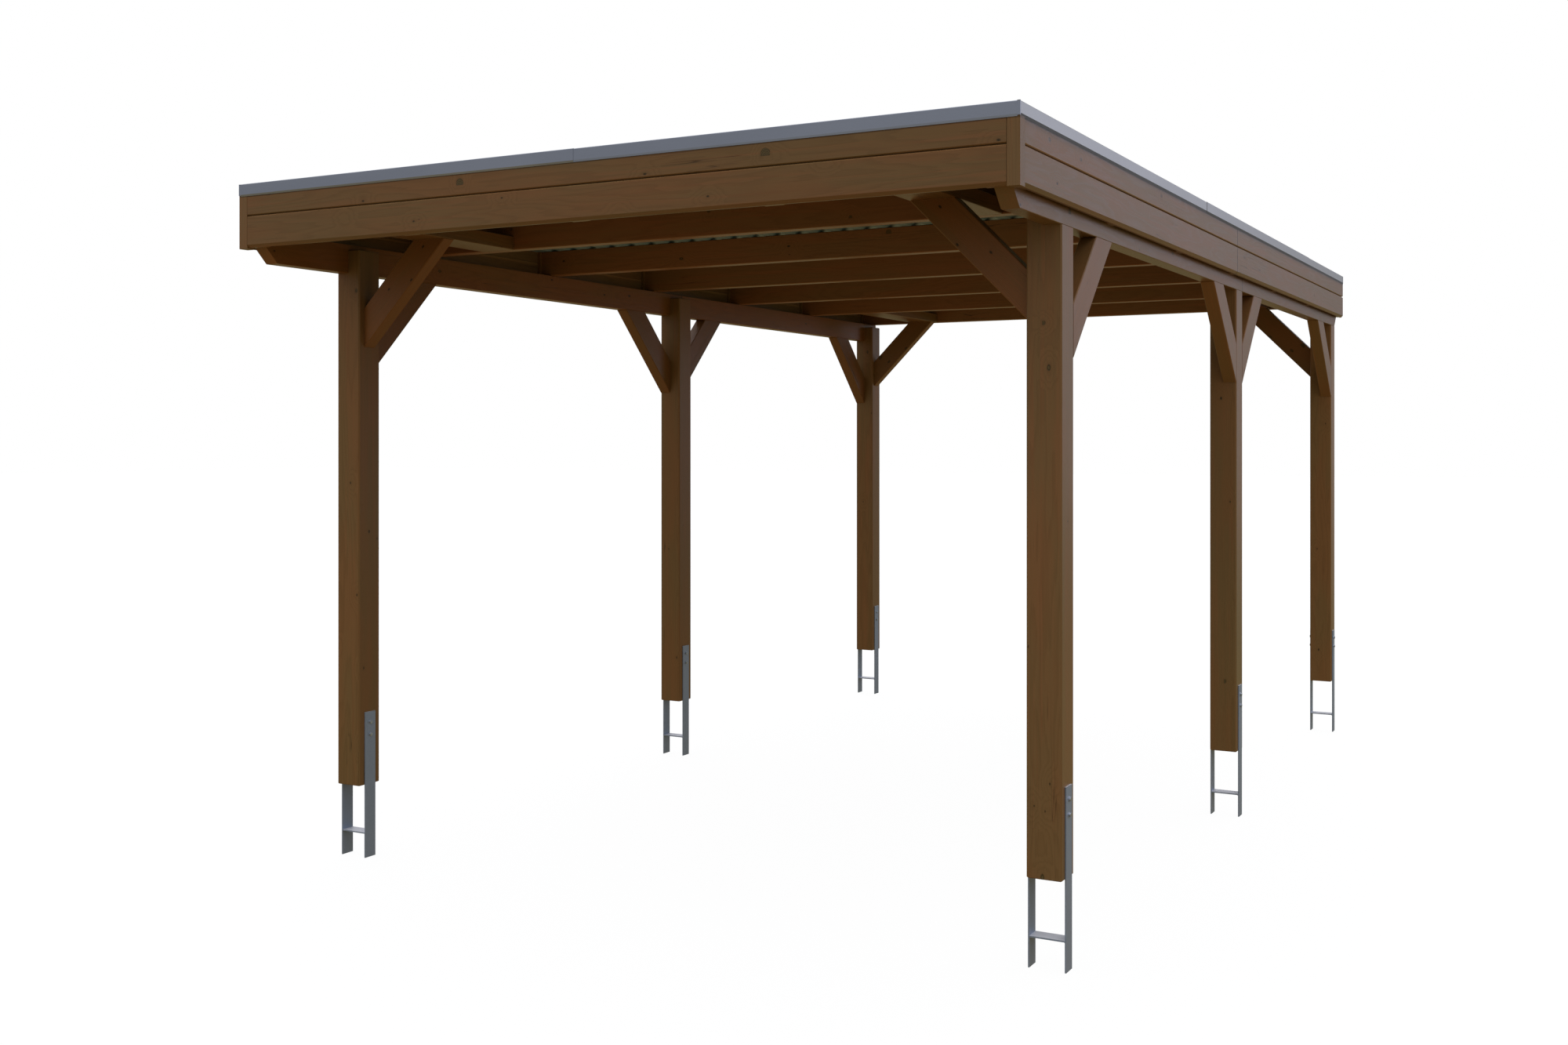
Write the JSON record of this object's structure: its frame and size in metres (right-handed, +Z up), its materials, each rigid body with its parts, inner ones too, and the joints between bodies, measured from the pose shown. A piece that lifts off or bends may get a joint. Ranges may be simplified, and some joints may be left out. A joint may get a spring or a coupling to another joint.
{
  "type": "carport",
  "caption": "Open timber carport: notched posts in H-shaped ground anchors, purlins with head braces, rafters, a boarded roof edge with metal trim and trapezoidal roof sheets.",
  "frame": {"origin": "middle of the carport's outline in plan, at the lower ends of the ground anchors", "axes": "+X to the right seen from the drive-in front, +Y from the front to the back, +Z up"},
  "size_m": [3.2, 5.582, 2.714],
  "materials": {
    "stained_timber": "planed softwood, dark nut-brown stain",
    "stained_boards": "planed boards, dark nut-brown stain",
    "galvanised_anchors": "hot-dip galvanised flat bar",
    "zinc_bolts": "zinc-plated",
    "roof_sheets": "thin coated steel sheet, satin",
    "metal_trim": "folded sheet, satin grey"
  },
  "bodies": {
    "root": {"anchor_bolts": "zinc_bolts", "anchor_front_left": "galvanised_anchors", "anchor_front_right": "galvanised_anchors", "anchor_middle_left": "galvanised_anchors", "anchor_middle_right": "galvanised_anchors", "anchor_rear_left": "galvanised_anchors", "anchor_rear_right": "galvanised_anchors", "corner_pieces": "stained_boards", "cross_braces_front": "stained_timber", "cross_braces_rear": "stained_timber", "front_battens": "stained_timber", "front_board_lower": "stained_boards", "front_board_upper": "stained_boards", "front_trim": "metal_trim", "post_front_left": "stained_timber", "post_front_right": "stained_timber", "post_middle_left": "stained_timber", "post_middle_right": "stained_timber", "post_rear_left": "stained_timber", "post_rear_right": "stained_timber", "purlin_front_left": "stained_timber", "purlin_front_right": "stained_timber", "purlin_rear_left": "stained_timber", "purlin_rear_right": "stained_timber", "rafter_1": "stained_timber", "rafter_2": "stained_timber", "rafter_3": "stained_timber", "rafter_4": "stained_timber", "rafter_5": "stained_timber", "rafter_6": "stained_timber", "rafter_7": "stained_timber", "roof_sheet_left": "roof_sheets", "roof_sheet_middle": "roof_sheets", "roof_sheet_right": "roof_sheets", "side_battens": "stained_timber", "side_board_lower_left": "stained_boards", "side_board_lower_right": "stained_boards", "side_board_upper_left": "stained_boards", "side_board_upper_right": "stained_boards", "side_braces_left": "stained_timber", "side_braces_right": "stained_timber", "side_trim_left": "metal_trim", "side_trim_right": "metal_trim", "trimmers_front": "stained_timber", "trimmers_rear": "stained_timber"}
  },
  "joints": []
}
